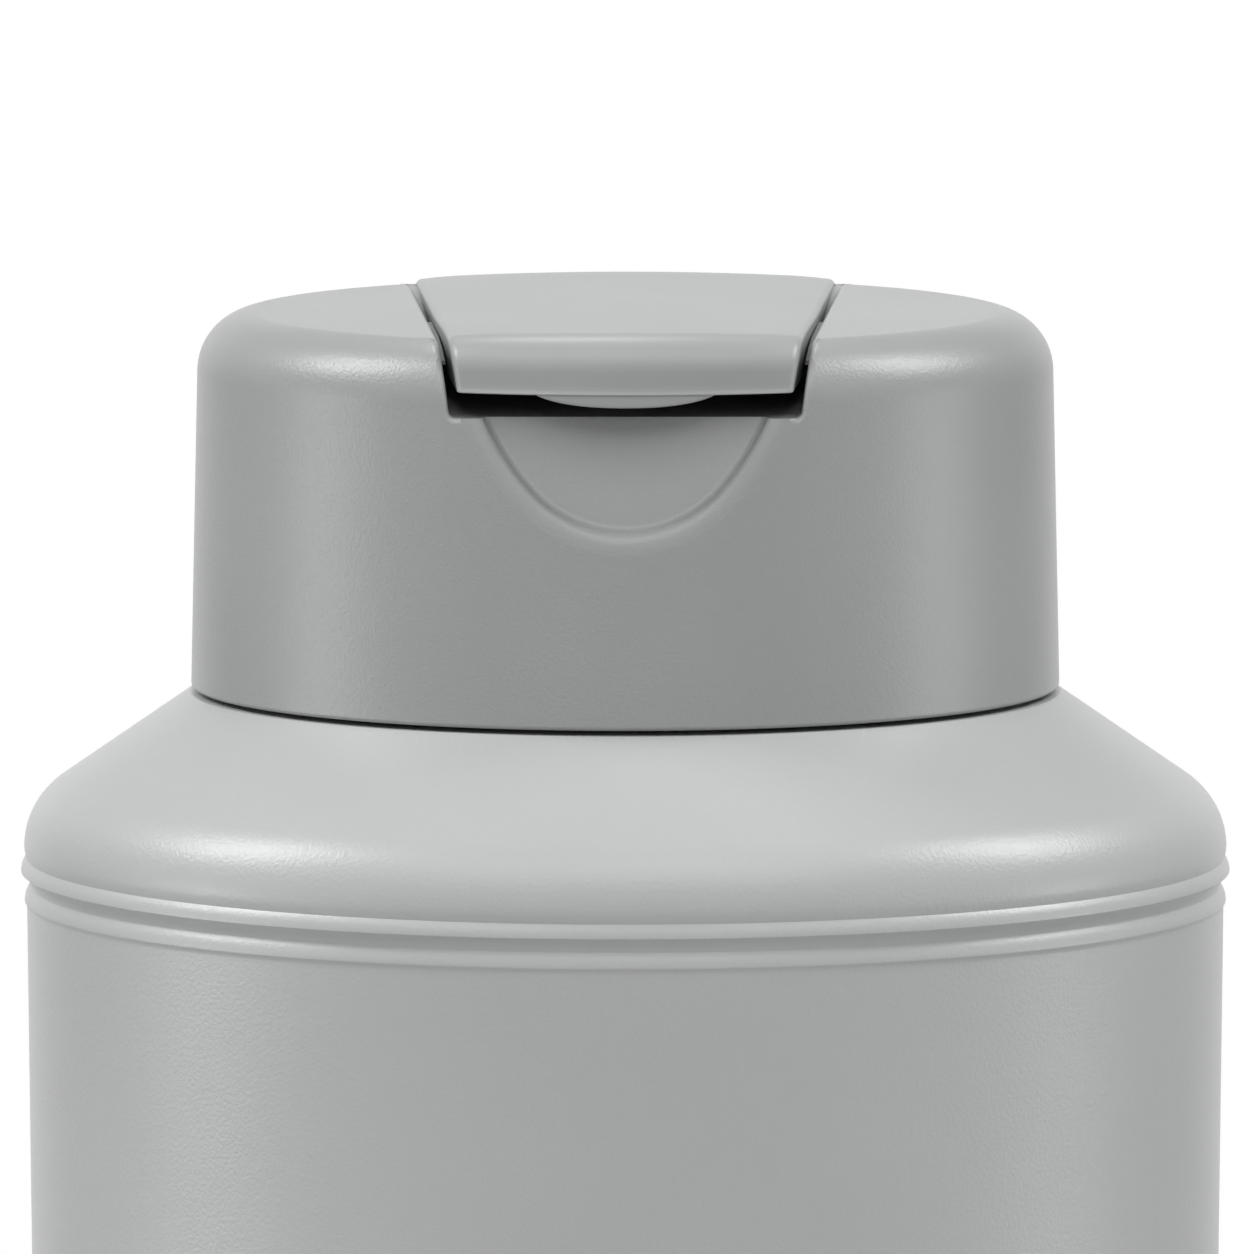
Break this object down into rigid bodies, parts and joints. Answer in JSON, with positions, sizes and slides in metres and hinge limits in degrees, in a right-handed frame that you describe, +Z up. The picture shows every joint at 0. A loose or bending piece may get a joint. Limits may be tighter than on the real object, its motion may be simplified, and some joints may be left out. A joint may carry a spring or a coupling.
{
  "type": "dashboard polish bottle",
  "caption": "Round squeeze bottle with a sloped shoulder, a double bead and a smooth screw cap whose flip lid lies in a channel above a thumb scoop and shuts a pour hole.",
  "frame": {"origin": "centre of the standing ring under the bottle's base", "axes": "+Z up along the bottle's axis, -Y towards the front with the thumb scoop, +Y towards the lid's hinge, +X to the right seen from the front"},
  "size_m": [0.0605, 0.0606, 0.1495],
  "materials": {
    "bottle": "blown polyethylene, light grey, fine grain",
    "sealing_washer": "soft polyethylene, off-white",
    "screw_cap": "moulded polypropylene, grey, fine spark-eroded grain",
    "flip_lid": "moulded polypropylene, grey, smoother than the cap"
  },
  "bodies": {
    "bottle": {"bottle": "bottle"},
    "washer": {"sealing_washer": "sealing_washer"},
    "cap": {"screw_cap": "screw_cap"},
    "lid": {"flip_lid": "flip_lid"}
  },
  "joints": [
    {"name": "cap_lift", "type": "slide", "parent": "bottle", "child": "washer", "axis": [0, 0, 1], "range_m": [0, 0.0061]},
    {"name": "cap_turn", "type": "hinge", "parent": "washer", "child": "cap", "pos_m": [0, 0, 0.13], "axis": [0, 0, 1], "range_deg": [0, 540]},
    {"name": "lid_flip", "type": "hinge", "parent": "cap", "child": "lid", "pos_m": [0, 0.016, 0.14691], "axis": [-1, 0, 0], "range_deg": [0, 115]}
  ],
  "couplings": [
    {"joint": "cap_lift", "follows": "cap_turn", "m_per_rad": 0.00063662}
  ]
}
